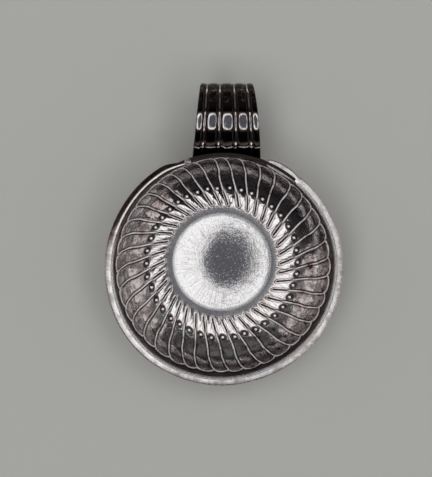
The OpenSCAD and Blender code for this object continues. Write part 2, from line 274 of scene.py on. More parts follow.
# %% Height of the pattern
FLUTE_START = 2.6
START_RUN = 1.4
RIDGE = 0.32
RIDGE_HALF = 0.34
RIDGE_ERROR = 0.12
RIDGE_END = 0.4
SIDE_END = 0.9
SCALLOP_START = 1.5
SCALLOP_STRONGER = 1.5
PANEL = 0.14
PANEL_DEEPER = 0.1
PANEL_RISE = 2.0
PANEL_END = 0.6
KNOB = 0.2


def ridge_line(distance):
    """Height of a raised line at a distance from its middle, between 0 and 1."""
    if abs(distance) > RIDGE_HALF:
        return 0.0
    return 0.5 + 0.5 * math.cos(math.pi * distance / RIDGE_HALF)


def relief(share, reach, flute):
    """Height of the chased pattern above the plain wall, in mm."""
    error = flute_error[flute]
    pitch = FLUTE_TURN * wall_place(reach)[0]
    beyond = past_scallop(share, reach, flute)
    past = max(0.0, beyond)
    top = SCALLOP_REACH + error["high"]
    start_side = ridge_line(share * pitch) * max(0.0, 1 - past / RIDGE_END)
    end_side = ridge_line((1 - share) * pitch) * ease((top + SIDE_END - reach) / SIDE_END)
    scallop = ridge_line(beyond) * ease((reach - top + SCALLOP_START) / SCALLOP_START)
    strength = RIDGE * (1 + RIDGE_ERROR * error["height"])
    line = strength * max(start_side, end_side, SCALLOP_STRONGER * scallop)
    hollow = (2 * share - 1) ** 2 * max(0.0, 1 - past / PANEL_END)
    rising = ease(1 + beyond / PANEL_RISE) if beyond < 0 else ease(1 - beyond / PANEL_END)
    panel = (PANEL + PANEL_DEEPER * ease((10 - reach) / 3)) * max(hollow, rising)
    beside = min(share, 1 - share) * pitch / 0.5
    above = (reach - FLUTE_START - 0.7) / 0.55
    knob = KNOB * math.exp(-(beside ** 2 + above ** 2))
    return ease((reach - FLUTE_START) / START_RUN) * (panel + line) + knob


mid_wall = [round(relief(step / 8, 13.0, 0), 2) for step in range(8)]
print("relief over a panel at mid wall", mid_wall, "mm")

# %% [markdown]
# Tarnish stays in the corner along the foot of each raised line, where a cloth can't reach, and painted
# shade is laid along one side of it. The pale crests, partly a painted highlight, lie on the line itself.
# The finish needs to know how far a point is from the nearest line for that, and the distance could not be
# found again from the finished mesh.

# %% Distance from the lines
def line_gap(share, reach, flute):
    """Distance in mm from the middle of the nearest raised line."""
    pitch = FLUTE_TURN * wall_place(reach)[0]
    beyond = past_scallop(share, reach, flute)
    sides = min(share, 1 - share) * pitch + 2 * max(0.0, beyond)
    before = 2 * max(0.0, FLUTE_START - reach)
    return min(sides, abs(beyond)) + before


print("the middle of a panel is", round(line_gap(0.5, 13.0, 0), 2), "mm from a line at mid wall")

# %% [markdown]
# ## The bowl
# The profile is drawn once as a chain of points and spun round the axis with
# bmesh.ops.spin. Each point carries its reach along, so that afterwards every vertex
# knows where it is on the wall and can be slid into the swirl and lifted by the relief.
# The points lie closest together where the ridges start, at the beads and at the scallops.

# %% Spin the bowl
FLOOR_REACHES = [
    -17.5, -16, -14, -12, -10, -8, -6, -4.4, -3.1, -2.1,
    -1.5, -1.0, -0.7, -0.45, -0.2, 0, 0.25, 0.55, 0.9, 1.3,
]
PANEL_REACHES = [
    1.7, 1.95, 2.2, 2.45, 2.7, 3.0, 3.3, 3.7, 4.2, 4.8, 5.5, 6.2, 6.9, 7.6, 8.2,
    8.7, 9.1, 9.5, 9.9, 10.4, 11.0, 11.9, 13.2, 14.4, 15.6, 16.8, 18.0, 19.2, 20.0,
]
LIP_REACHES = [
    20.6, 21.1, 21.5, 21.8, 22.05, 22.3, 22.55, 22.8, 23.05, 23.3, 23.5, 23.68, 23.86, 24.04,
    24.22, 24.4, 24.58, 24.76, 24.94, 25.12, 25.3, 25.55, 25.9, 26.4, 27.0, 29.0, LIP_REACH,
]
COLUMNS = [0, 0.03, 0.06, 0.1, 0.15, 0.24, 0.37, 0.5, 0.63, 0.76, 0.85, 0.9, 0.94, 0.97]
LAYER_KEYS = ("reach", "turn", "lift", "painted_shade_side", "gap", "ring", "tip")
MERGE = 1e-7

bowl = bmesh.new()
layers = {key: bowl.verts.layers.float.new(key) for key in LAYER_KEYS}
chain = []
for reach in FLOOR_REACHES + PANEL_REACHES + LIP_REACHES:
    radius, height = wall_place(reach)
    point = bowl.verts.new((radius * MM, 0, height * MM))
    point[layers["reach"]] = reach
    if chain:
        bowl.edges.new((chain[-1], point))
    chain.append(point)
bmesh.ops.spin(
    bowl,
    geom=bowl.verts[:] + bowl.edges[:],
    cent=(0, 0, 0),
    axis=(0, 0, 1),
    dvec=(0, 0, 0),
    angle=2 * math.pi,
    steps=FLUTES * len(COLUMNS),
    use_merge=True,
)
bmesh.ops.remove_doubles(bowl, verts=bowl.verts[:], dist=MERGE)
bmesh.ops.recalc_face_normals(bowl, faces=bowl.faces[:])
print("spun bowl has", len(bowl.verts), "points and", len(bowl.faces), "faces")

# %% [markdown]
# A bowl raised by hand is a little out of round, most of all at its lip, so the radius
# wanders by a quarter of a millimetre there. Behind, the soldered handle has pulled the
# lip outwards as well. One helper adds both and gives a point of the wall at any depth.

# %% A hand-raised wall
ROUND_WAVES = [(2, 0.16, 0.6), (3, 0.10, 2.0), (7, 0.05, 0.0)]
FLARE = 0.7
FLARE_ANGLE = 90
FLARE_SPREAD = 24


def out_of_round(angle, reach):
    """How far the wall wanders from a true circle, in mm."""
    return ease(reach / LIP_REACH) * slow_waves(angle, ROUND_WAVES)


def lip_flare(angle, reach):
    """How far the handle has pulled the lip outwards behind, in mm."""
    from_handle = (math.degrees(angle) - FLARE_ANGLE + 180) % 360 - 180
    return FLARE * ease((reach - 15) / 10) * math.exp(-((from_handle / FLARE_SPREAD) ** 2))


def on_wall(angle, reach, depth):
    """A point at a depth behind the plain inner face, or in front of it below zero."""
    slope = wall_slope(reach)
    radius, height = wall_place(reach)
    radius += out_of_round(angle, reach) + lip_flare(angle, reach) + depth * math.sin(slope)
    height -= depth * math.cos(slope)
    return Vector((radius * math.cos(angle), AXIS_Y + radius * math.sin(angle), height)) * MM


print("lip leans out by", round(lip_flare(math.radians(FLARE_ANGLE), LIP_REACH), 2), "mm at the handle")

# %% [markdown]
# The vertices are now moved into the swirl and lifted. The columns crowd towards each
# ridge, where the shape changes fastest. Every vertex also keeps its distances from the
# nearest line, bead and ridge tip, which the finish reads later.

# %% Chase the flutes
PHASE = math.radians(-2.38)
TURN_ERROR = math.radians(0.5)
BEAD_REACH = 9.5
BEAD_ERROR = 0.18
FAR = 4.0


def flute_angle(flute, share, reach):
    """Angle round the axis of a point of a flute, with the errors of hand work."""
    next_turn = flute_error[(flute + 1) % FLUTES]["turn"]
    loose = (1 - share) * flute_error[flute]["turn"] + share * next_turn
    wobble = TURN_ERROR * loose * math.cos(0.16 * reach - 0.8)
    angle = FLUTE_TURN * (flute + share) + PHASE + swirl(reach)
    return angle + (drift(angle) + wobble) * ease((reach - 0.7) / 2)


step_turn = FLUTE_TURN / len(COLUMNS)
for vert in bowl.verts:
    reach = vert[layers["reach"]]
    column = round(math.atan2(vert.co.y, vert.co.x) / step_turn) % (FLUTES * len(COLUMNS))
    flute, place = divmod(column, len(COLUMNS))
    even = place / len(COLUMNS)
    share = even + (COLUMNS[place] - even) * ease((reach - 0.2) / 1.5)
    angle = flute_angle(flute, share, reach)
    lift = relief(share, reach, flute) if reach > 0 else 0.0
    pitch = FLUTE_TURN * wall_place(reach)[0]
    from_bead = reach - BEAD_REACH - BEAD_ERROR * flute_error[flute]["bead"]
    before_tip = max(0.0, FLUTE_START + 0.8 - reach)
    side = min(share, 1 - share) * pitch
    vert[layers["ring"]] = math.hypot((share - 0.5) * pitch, from_bead)
    vert[layers["gap"]] = line_gap(share, reach, flute) if reach > 0 else FAR
    vert[layers["tip"]] = math.hypot(side, before_tip) if reach > 0 else FAR
    # One side of each line gets the full painted shade, the other side half of it.
    vert[layers["painted_shade_side"]] = 1.0 if share < 0.5 else 0.5
    vert[layers["turn"]] = angle
    vert[layers["lift"]] = lift
    vert.co = on_wall(angle, reach, -lift)
bmesh.ops.recalc_face_normals(bowl, faces=bowl.faces[:])
if sum(face.normal.z for face in bowl.faces) < 0:
    bmesh.ops.reverse_faces(bowl, faces=bowl.faces[:])
highest = max(vert[layers["lift"]] for vert in bowl.verts)
print("chased", FLUTES, "flutes, the highest line", round(highest, 2), "mm proud")

# %% [markdown]
# The sheet gets its thickness now. A Solidify modifier could do it, but the back of a
# chased line is softer than its front, because the metal spreads as it is driven through.
# So the operator thickens the skin, and the points of the outer face are then drawn back
# to two thirds of the relief.

# %% Thicken the sheet
BACK_RELIEF = 0.66
BACK_FROM = 0.3 * MM

bmesh.ops.solidify(bowl, geom=bowl.faces[:], thickness=SHEET * MM)
for vert in bowl.verts:
    angle, reach, lift = [vert[layers[key]] for key in ("turn", "reach", "lift")]
    if (vert.co - on_wall(angle, reach, -lift)).length > BACK_FROM:
        vert.co = on_wall(angle, reach, SHEET - BACK_RELIEF * lift)
volume = round(bowl.calc_volume(signed=True) * 1e9)
print("bowl holds", volume, "cubic mm of silver in", len(bowl.faces), "faces")

# %% [markdown]
# ## The beads
# A small bead was punched up from behind in the middle of each panel. Each one is a
# round ball flattened underneath and half sunk in the wall, which gives the sharp foot
# that catches a dark line in the photograph.

# %% Punch the beads
BEAD_R = 0.86
BEAD_R_ERROR = 0.05
BEAD_TURN_ERROR = math.radians(0.3)
BEAD_TOP = 0.8
BEAD_UNDER = 0.45
BEAD_PROUD = 0.12

beads = bmesh.new()
bead_layers = {key: beads.verts.layers.float.new(key) for key in LAYER_KEYS}
for flute, error in enumerate(flute_error):
    reach = BEAD_REACH + BEAD_ERROR * error["bead"]
    size = BEAD_R + BEAD_R_ERROR * error["drop"]
    angle = FLUTE_TURN * (flute + 0.5) + PHASE + swirl(reach)
    angle += drift(angle) + BEAD_TURN_ERROR * error["turn"]
    radius, height = wall_place(reach)
    ball = bmesh.ops.create_uvsphere(beads, u_segments=14, v_segments=9, radius=size * MM)["verts"]
    for vert in ball:
        vert.co.z *= BEAD_TOP if vert.co.z > 0 else BEAD_UNDER
        vert[bead_layers["reach"]] = reach
        vert[bead_layers["painted_shade_side"]] = 0.0
        vert[bead_layers["gap"]] = 2.0
        vert[bead_layers["tip"]] = 2.0
        vert[bead_layers["ring"]] = vert.co.xy.length / MM
    lean = Matrix.Rotation(angle, 4, "Z") @ Matrix.Rotation(-0.4 * wall_slope(reach), 4, "Y")
    bmesh.ops.transform(beads, verts=ball, matrix=lean)
    foot = Vector((radius * math.cos(angle), AXIS_Y + radius * math.sin(angle), height + BEAD_PROUD))
    bmesh.ops.translate(beads, verts=ball, vec=foot * MM)
bead_mesh = bpy.data.meshes.new("beads")
beads.to_mesh(bead_mesh)
beads.free()
bowl.from_mesh(bead_mesh)
bpy.data.meshes.remove(bead_mesh)
print("punched", FLUTES, "beads; the bowl has", len(bowl.faces), "faces")

# %% [markdown]
# A finished mesh becomes an object at the origin, rides on the one body of the frame and replaces its
# solid. All pieces go through the same helper.

# %% Hand over a piece
def finish_piece(mesh, name, node):
    """Makes an object of a mesh and lets it stand for a solid."""
    data = bpy.data.meshes.new(name)
    mesh.to_mesh(data)
    mesh.free()
    for face in data.polygons:
        face.use_smooth = True
    piece = bpy.data.objects.new(name, data)
    bpy.context.scene.collection.objects.link(piece)
    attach(piece, "root")
    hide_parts(node)
    triangles = sum(len(face.vertices) - 2 for face in data.polygons)
    print(name, "stands for", node, "with", triangles, "triangles")
    return piece


fluted_bowl = finish_piece(bowl, "fluted_bowl", "bowl")

# %% [markdown]
# ## The rim wire
# A half-round wire strengthens the lip. It stops on both sides of the handle: one end
# is melted to a ball, and the other is hammered out flat like a leaf. A bevelled curve
# could give a wire, but not its ends. So a circle is spun round most of a turn, and the
# points near its ends are squeezed into shape afterwards.

# %% Rim wire
WIRE_R = 1.25
WIRE_RING = 38.8
WIRE_Z = 19.2
BALL_ANGLE = math.radians(108.5)
LEAF_ANGLE = math.radians(360 + 68)

rim = bmesh.new()
shade_layer = rim.verts.layers.float.new("shade")
edge_layer = rim.verts.layers.float.new("edge")
highlight_line_layer = rim.verts.layers.float.new("line")
upright = Matrix.Rotation(math.radians(90), 3, "X")
bmesh.ops.create_circle(rim, cap_ends=True, segments=48, radius=WIRE_R * MM)
bmesh.ops.rotate(rim, verts=rim.verts[:], cent=(0, 0, 0), matrix=upright)
bmesh.ops.translate(rim, verts=rim.verts[:], vec=Vector((WIRE_RING, 0, WIRE_Z)) * MM)
bmesh.ops.spin(
    rim,
    geom=rim.faces[:],
    cent=(0, 0, 0),
    axis=(0, 0, 1),
    dvec=(0, 0, 0),
    angle=LEAF_ANGLE - BALL_ANGLE,
    steps=360,
    use_merge=False,
)
bmesh.ops.remove_doubles(rim, verts=rim.verts[:], dist=MERGE)
print("rim wire spun through", round(math.degrees(LEAF_ANGLE - BALL_ANGLE), 1), "degrees")

# %% [markdown]
# Wear has given the wire a flat face with soft corners. Left of the handle the face leans outwards and is
# painted darker, and a thin bright line along its inner edge is a painted highlight. Towards the ball the
# wire tapers. The darker side and the painted highlight line are written on the points as well.

# %% Section of the rim
WIRE_HALF = 1.4
LEAF_RUN = 13
LEAF_BLEND = 3.0
LEAF_BELLY = 11.0
FACE_TILT = 9
WORN_TILT = 18
WORN_ANGLE = 133
WORN_SPREAD = 32
CORNERS = 0.4


def leaf_shape(from_end):
    """Half width and half thickness of the wire near its hammered end, in mm."""
    flat = ease((LEAF_RUN - from_end) / LEAF_BLEND)
    belly = math.sin(math.pi * min(1.0, max(0.0, from_end / LEAF_BELLY))) ** 0.5
    width = WIRE_HALF * (1 - flat) + flat * (0.9 + 0.7 * belly)
    return width, 1.0 - flat * 0.35


def squared(value):
    """Pushes the outline of a round wire towards a square with soft corners."""
    return math.copysign(abs(value) ** CORNERS, value)


def face_tilt(angle):
    """Outward lean of the rim's face, which wear has rounded off left of the handle."""
    worn = ease(1 - abs(math.degrees(angle) - WORN_ANGLE) / WORN_SPREAD)
    return math.radians(FACE_TILT + WORN_TILT * worn)


print("rim face leans", FACE_TILT, "degrees, and where it is worn", FACE_TILT + WORN_TILT)

# %% [markdown]
# Each point of the spun tube now gets its place from its angle and from where it lies
# in the section. The ball is a sphere that is set on the thin end.

# %% Shape the rim
DARK_ANGLE = 128
DARK_SPREAD = 52
TAPER_RUN = 9
TAPER_LEFT = 0.4
DENTS = [(3, 0.10, 1.0), (11, 0.05, 0.0)]
BALL_R = 1.3

for vert in rim.verts:
    turned = math.atan2(vert.co.y, vert.co.x) % (2 * math.pi)
    angle = BALL_ANGLE + turned
    across = squared((vert.co.xy.length / MM - WIRE_RING) / WIRE_R)
    over = squared((vert.co.z / MM - WIRE_Z) / WIRE_R)
    # The rim is painted darker left of the handle, and the line attribute marks a painted highlight along
    # the top of the inner edge.
    darkened = ease(1.6 - 1.6 * abs(math.degrees(angle) - DARK_ANGLE) / DARK_SPREAD)
    vert[edge_layer] = across
    vert[highlight_line_layer] = darkened * ease((over - 0.5) / 0.3) * ease(1.8 - abs(across + 0.51) / 0.1)
    vert[shade_layer] = darkened - vert[highlight_line_layer]
    width, thick = leaf_shape(max(0.0, (LEAF_ANGLE - angle) * WIRE_RING))
    full = TAPER_LEFT + (1 - TAPER_LEFT) * ease((angle - BALL_ANGLE) * WIRE_RING / TAPER_RUN)
    width, thick = width * full, thick * (TAPER_LEFT + (1 - TAPER_LEFT) * full)
    tilt = math.sin(face_tilt(angle))
    radius = WIRE_RING - WIRE_HALF * (1 - full) + out_of_round(angle, LIP_REACH)
    radius += across * width + over * thick * tilt
    height = WIRE_Z + over * thick - across * width * tilt + slow_waves(angle, DENTS)
    vert.co = Vector((radius * math.cos(angle), AXIS_Y + radius * math.sin(angle), height)) * MM
end_ball = bmesh.ops.create_uvsphere(rim, u_segments=18, v_segments=12, radius=BALL_R * MM)["verts"]
for vert in end_ball:
    vert[shade_layer] = 0.25
ball_ring = WIRE_RING - 0.6
ball_x, ball_y = ball_ring * math.cos(BALL_ANGLE), AXIS_Y + ball_ring * math.sin(BALL_ANGLE)
bmesh.ops.translate(rim, verts=end_ball, vec=Vector((ball_x, ball_y, WIRE_Z + 0.3)) * MM)
bmesh.ops.recalc_face_normals(rim, faces=rim.faces[:])
rim_wire = finish_piece(rim, "lip_wire", "rim_wire")

# %% [markdown]
# ## The strap handle
# The handle is a strip of silver with reeds rolled along it, bent round like a belt
# loop for a finger and soldered on at both ends. It is made as a goldsmith makes it: a
# flat strip first, the reeds next, and the bending last. Its path is a chain of bends,
# each given by its radius and the heading it ends with.

# %% Path of the strap
PATH_START = (41.78, 20.2)
PATH_HEADING = 45.0
BENDS = [(12.0, 16.0), (13.0, -6.0), (5.5, -20.0), (21.6, -42.0), (6.55, -180.0), (30.0, -184.0)]
ROOT_RUN = 7.5
FOOT_RUN = 19.0
bend_runs = []
heading = PATH_HEADING
for radius, ending in BENDS:
    bend_runs.append(radius * math.radians(heading - ending))
    heading = ending
STRAP_RUN = ROOT_RUN + sum(bend_runs) + FOOT_RUN


def along(y, z, heading, run):
    """A point moved straight on by a run."""
    return y + run * math.cos(heading), z + run * math.sin(heading)


def strap_place(run):
    """Crown of the strap at a run from its root: y from the axis, z and heading."""
    heading = math.radians(PATH_HEADING)
    y, z = PATH_START
    run -= ROOT_RUN
    if run < 0:
        return (*along(y, z, heading, run), heading)
    for (radius, ending), length in zip(BENDS, bend_runs):
        part = min(run, length)
        turned = heading - part / radius
        y += radius * (math.sin(heading) - math.sin(turned))
        z += radius * (math.cos(turned) - math.cos(heading))
        heading = turned
        run -= part
        if run <= 0:
            return y, z, heading
    return (*along(y, z, heading, run), heading)


far_end = max(strap_place(step / 10)[0] for step in range(round(10 * STRAP_RUN)))
print("strap runs", round(STRAP_RUN, 1), "mm and reaches", round(far_end, 1), "mm from the axis")

# %% [markdown]
# The section has five broad reeds with a fine thread between each two. The broad reeds
# are nearly flat with rounded flanks, and the threads are half round, so that neighbours
# meet in a sharp groove. The strip gets more points across a broad reed than a thread.

# %% Reeds
REED_SHARES = [10, 7, 16.5, 7, 19, 7, 16.5, 7, 10]
THREAD_UNDER = 8
THREAD = 0.7
FLANK = 0.09
REED_EDGE = 0.66


def reed_at(share):
    """Width of the reed at a share of the strip, and the share across that reed."""
    place = share * 100
    for width in REED_SHARES:
        if place <= width + 1e-6:
            return width, min(1.0, max(0.0, place / width))
        place -= width
    return width, 1.0


def reed_height(width, across):
    """Height over the grooves: broad reeds are nearly flat, the threads are round."""
    if width < THREAD_UNDER:
        return THREAD * math.sin(math.pi * across) ** 0.8
    crown = REED_EDGE + (1 - REED_EDGE) * (1 - (2 * across - 1) ** 2)
    return ease(min(across, 1 - across) / FLANK) * crown


strip_shares = [0.0]
for width in REED_SHARES:
    parts = 14 if width > THREAD_UNDER else 6
    start = strip_shares[-1]
    strip_shares += [start + width / 100 * (part + 1) / parts for part in range(parts)]
print("strip has", len(strip_shares) - 1, "faces across its", len(REED_SHARES), "reeds and threads")

# %% [markdown]
# A grid gives the flat strip, and one extrusion gives it a back. The strip is a plain
# square for now, because each point only has to know its row and its column.

# %% Flat strip
ROWS = 120

strap = bmesh.new()
groove_layer = strap.verts.layers.float.new("groove")
run_layer = strap.verts.layers.float.new("run")
thread_layer = strap.verts.layers.float.new("thread")
bmesh.ops.create_grid(strap, x_segments=len(strip_shares) - 1, y_segments=ROWS, size=0.5)
made = bmesh.ops.extrude_face_region(strap, geom=strap.faces[:], use_keep_orig=True)
back_verts = [item for item in made["geom"] if isinstance(item, bmesh.types.BMVert)]
bmesh.ops.translate(strap, verts=back_verts, vec=(0, 0, -1))
print("strip has", len(strap.faces), "faces before bending")

# %% [markdown]
# Both ends of the strap are filed to fit the bowl. To stop them there, the bowl's outer
# face has to be found at any height. The wall gives a height for a reach and not the
# other way round, so the reach is found by halving.

# %% Where the strap meets the bowl
def outer_face(height, angle):
    """Radius of the bowl's outer face at a height and an angle, in mm."""
    low, high = 0.0, LIP_REACH
    for halving in range(12):
        middle = (low + high) / 2
        if wall_place(middle)[1] - SHEET * math.cos(wall_slope(middle)) < height:
            low = middle
        else:
            high = middle
    return wall_place(low)[0] + SHEET * math.sin(wall_slope(low)) + lip_flare(angle, low)


print("outer face is", round(outer_face(10.0, 0.0), 2), "mm from the axis at a height of 10 mm")

# %% [markdown]
# Every vertex is told its share across, its run along and its depth below the crown, and
# is then laid on the path. Where the ends reach the bowl, they are stopped just inside
# its sheet, so that no gap shows.

# %% Lay the strip on its path
REED = 0.4
STRIP = 1.2
STRAP_WIDE = 23.1
STRAP_NARROW = 10.0
STRAP_SIDE = 1.0
IN_SHEET = 0.25
STEP_BACK = 0.05

for vert in strap.verts:
    share = strip_shares[round((vert.co.x + 0.5) * (len(strip_shares) - 1))]
    part = vert.co.y + 0.5
    on_front = vert.co.z > -0.5
    width, across = reed_at(share)
    height = reed_height(width, across)
    depth = REED * (1 - height) if on_front else REED + STRIP
    run = part * STRAP_RUN
    vert[thread_layer] = math.sin(math.pi * across) ** 2 if width < THREAD_UNDER else 0.0
    vert[groove_layer] = height if on_front else 0.3
    vert[run_layer] = run
    y, z, heading = strap_place(run)
    wide = STRAP_WIDE + (STRAP_NARROW - STRAP_WIDE) * part ** 1.2
    y += depth * math.sin(heading)
    z -= depth * math.cos(heading)
    x = STRAP_SIDE + (share - 0.5) * wide
    inward = 1 if part < 0.5 else -1
    for step in range(400):
        if z > LIP_Z + 2 or math.hypot(x, y) > outer_face(z, math.atan2(y, x)) - IN_SHEET:
            break
        y, z = along(y, z, heading, STEP_BACK * inward)
    vert.co = Vector((x, AXIS_Y + y, z)) * MM
bmesh.ops.remove_doubles(strap, verts=strap.verts[:], dist=2e-6)
bmesh.ops.recalc_face_normals(strap, faces=strap.faces[:])
strap_loop = finish_piece(strap, "reeded_strap", "handle_strap")

# %% [markdown]
# ## Old silver
# Silver is a bright, faintly warm metal. What makes it look old is the brown and black
# tarnish that stays where a cloth can't reach, and the web of fine scratches where it
# can. A photograph could be laid on as an image, but it would bring its own light along.
# So the finish is built from nodes: the tarnish, and the painted shade and painted highlights laid in with
# it, follow attributes that the meshes carry, and the scratches are noise stretched many times longer than
# it is wide.

# %% Node helpers
def start_finish(name):
    """A new metal: the material, its node tree and its shader."""
    material = bpy.data.materials.new(name)
    material.use_nodes = True
    tree = material.node_tree
    shader = tree.nodes["Principled BSDF"]
    shader.inputs["Metallic"].default_value = 1.0
    return material, tree, shader


def add(tree, kind, feeds=(), output=0, **settings):
    """A node with its settings made and its sockets fed; returns one output."""
    made = tree.nodes.new("ShaderNode" + kind)
    for key, value in settings.items():
        setattr(made, key, value)
    for key, value in dict(feeds).items():
        if isinstance(value, bpy.types.NodeSocket):
            tree.links.new(value, made.inputs[key])
        else:
            made.inputs[key].default_value = value
    return made.outputs[output]


def sum_of(tree, first, second):
    return add(tree, "Math", {0: first, 1: second}, operation="ADD")


def product(tree, first, second):
    return add(tree, "Math", {0: first, 1: second}, operation="MULTIPLY")


def fade(tree, value, start, end, low=0.0, high=1.0):
    """Smooth step of a value from one level to another."""
    levels = {0: value, 1: start, 2: end, 3: low, 4: high}
    return add(tree, "MapRange", levels, interpolation_type="SMOOTHSTEP")


print("one helper makes a node, and three put sums, products and fades together")

# %% [markdown]
# Four more helpers read what the points carry and make noise, scratches and rows of
# colours. Tarnish on silver goes from warm grey through brown to black as it thickens.
# One row of four such colours is what all the silver pieces start from.

# %% Noise and colours
def carried(tree, key):
    """A number that the points of the mesh carry."""
    return add(tree, "Attribute", attribute_name=key, output=2)


def noise(tree, place, size, detail, rough):
    """Cloudy values between 0 and 1. A larger size gives smaller spots."""
    feeds = {"Vector": place, "Scale": size, "Detail": detail, "Roughness": rough}
    return add(tree, "TexNoise", feeds)


def scratches(tree, place, turn, size):
    """Fine lines in one direction over the object, between 0 and 1."""
    turns = (0, 0, math.radians(turn))
    sizes = (size, size * 0.03, size)
    turned = add(tree, "Mapping", {"Vector": place, "Rotation": turns, "Scale": sizes})
    return noise(tree, turned, 1.0, 2.0, 0.7)


def colours(tree, value, stops):
    """A row of colours that a value chooses from."""
    made = tree.nodes.new("ShaderNodeValToRGB")
    ramp = made.color_ramp
    while len(ramp.elements) < len(stops):
        ramp.elements.new(0.5)
    for element, (place, colour) in zip(ramp.elements, stops):
        element.position = place
        element.color = (*colour, 1)
    tree.links.new(value, made.inputs[0])
    return made.outputs[0]


SILVER = (0.84, 0.832, 0.838)
TARNISH = [
    (0.0, SILVER),
    (0.35, (0.60, 0.55, 0.54)),
    (0.7, (0.30, 0.238, 0.228)),
    (1.0, (0.06, 0.044, 0.042)),
]
print("silver is", SILVER, "and the deepest tarnish", TARNISH[-1][1])

# %% [markdown]
# ## The bowl's finish
# The tops of the raised lines and beads are pale and matt, partly wear from rubbing and partly a painted
# highlight for the glints along the crests. On the wall each ridge is one pale line. Near the floor its two
# edges are painted pale and join round its tip, like a hairpin. The gap, ring and tip attributes tell how
# far a point is from a line, a bead and a tip. The pale lines are given little metal, so that they take
# plain light and don't turn dark with what they mirror.

# %% Worn lines and painted highlights
bowl_finish, tree, shader = start_finish("fluted_silver")
place = add(tree, "TexCoord", output=3)
reach, painted_shade_side, gap, ring, tip = [carried(tree, key) for key in ("reach", "painted_shade_side", "gap", "ring", "tip")]
sideways = add(tree, "SeparateXYZ", {0: place})
cloud = noise(tree, place, 260.0, 5.0, 0.62)
# Painted highlight, partly wear: pale, nearly metal-free crests of the lines, the hairpin edges near the
# floor and the bead tops.
single_pale_line = product(tree, fade(tree, gap, 0.32, 0.15), fade(tree, reach, 7.0, 9.5))
hairpin_highlight = product(tree, fade(tree, tip, 0.28, 0.40), fade(tree, tip, 0.70, 0.58))
hairpin_highlight = product(tree, hairpin_highlight, fade(tree, reach, 9.5, 7.0))
crown = sum_of(tree, sum_of(tree, single_pale_line, hairpin_highlight), fade(tree, ring, 0.5, 0.28))
# worn carries these pale crests, partly wear and partly painted highlight.
worn = product(tree, crown, fade(tree, cloud, 0.2, 0.55, 0.75, 1.0))
worn = product(tree, worn, fade(tree, reach, 14.0, 24.0, 1.0, 0.95))
tree.links.new(fade(tree, worn, 0.0, 1.0, 1.0, 0.05), shader.inputs["Metallic"])
print("worn lines read the gap, ring, tip and reach attributes")

# %% [markdown]
# Tarnish grows towards the lip, and the plain band under it is the most tarnished of all, with a few bare
# specks. It lies thicker on the right. Clouds and blotches of noise break it up, and the dark feet of the
# lines, tips and beads come last. They are partly tarnish in the corners and partly painted shade: one side
# of each line is painted darker than the other, the middle and the outline of each ridge tip are painted
# dark, and a dark ring is painted round each bead.

# %% Tarnish of the bowl
outer_zone = fade(tree, reach, 17.5, 21.5, 0.0, 0.44)
outer_zone = product(tree, outer_zone, fade(tree, sideways, -0.03, -0.005, 0.45, 1.0))
lip_band = sum_of(tree, fade(tree, reach, 24.5, 25.7, 0.0, 1.2), fade(tree, reach, 28.0, 30.5, 0.0, 0.6))
tarnish_and_shade = product(tree, sum_of(tree, outer_zone, lip_band), fade(tree, worn, 0.0, 1.0, 1.0, 0.15))
tarnish_and_shade = product(tree, tarnish_and_shade, fade(tree, cloud, 0.25, 0.7, 0.75, 1.15))
mottle = product(tree, fade(tree, reach, 11.0, 13.0), fade(tree, reach, 17.0, 15.0))
tarnish_and_shade = sum_of(tree, tarnish_and_shade, product(tree, mottle, fade(tree, cloud, 0.42, 0.62, 0.0, 0.45)))
blotch = noise(tree, place, 620.0, 4.0, 0.65)
blotched = fade(tree, reach, 10.0, 13.0, 0.0, 0.55)
blotched = product(tree, blotched, fade(tree, sideways, -0.03, 0.0, 0.55, 1.0))
tarnish_and_shade = sum_of(tree, tarnish_and_shade, product(tree, blotched, fade(tree, blotch, 0.48, 0.66)))
specks = product(tree, fade(tree, reach, 24.5, 25.5, 0.0, -0.9), fade(tree, blotch, 0.62, 0.68))
tarnish_and_shade = sum_of(tree, tarnish_and_shade, specks)
# Partly tarnish in the corner, partly painted shade: one side of each line is painted darker than the
# other.
foot_tarnish_and_shade = product(tree, fade(tree, gap, 0.24, 0.38), fade(tree, gap, 0.9, 0.55))
foot_tarnish_and_shade = product(tree, product(tree, foot_tarnish_and_shade, painted_shade_side), fade(tree, reach, 7.0, 9.5, 0.0, 1.15))
# Painted shade: a dark outline round each ridge tip and a dark middle between its pale edges.
tip_shade_ring = product(tree, fade(tree, tip, 0.64, 0.78), fade(tree, tip, 1.15, 0.9))
tip_core_shade = sum_of(tree, fade(tree, tip, 0.32, 0.2, 0.0, 0.85), product(tree, tip_shade_ring, 0.5))
foot_tarnish_and_shade = sum_of(tree, foot_tarnish_and_shade, product(tree, tip_core_shade, fade(tree, reach, 9.5, 7.0)))
# Partly tarnish, partly painted shade: a dark ring round the foot of each bead.
bead_foot_tarnish_and_shade = product(tree, fade(tree, ring, 0.5, 0.72), fade(tree, ring, 1.6, 1.15, 0.0, 0.95))
tarnish_and_shade = sum_of(tree, tarnish_and_shade, sum_of(tree, foot_tarnish_and_shade, bead_foot_tarnish_and_shade))
print("tarnish of the bowl takes", len(tree.nodes), "nodes so far")

# %% [markdown]
# The dome was left satin by a scouring that went round and round, and streaks run
# outwards from its edge and between the ridge tips. Plain noise has no centre, so the
# place is split into a direction round the axis and a distance from it. Noise on these
# two can be stretched along circles or along rays.

# %% Rings and rays
centred = add(tree, "Mapping", {"Vector": place, "Location": (0, -AXIS_Y * MM, 0)})
flat = add(tree, "VectorMath", {0: centred, 1: (1, 1, 0)}, operation="MULTIPLY")
radius = add(tree, "VectorMath", {0: flat}, operation="LENGTH", output=1)
circle = add(tree, "VectorMath", {0: flat}, operation="NORMALIZE")


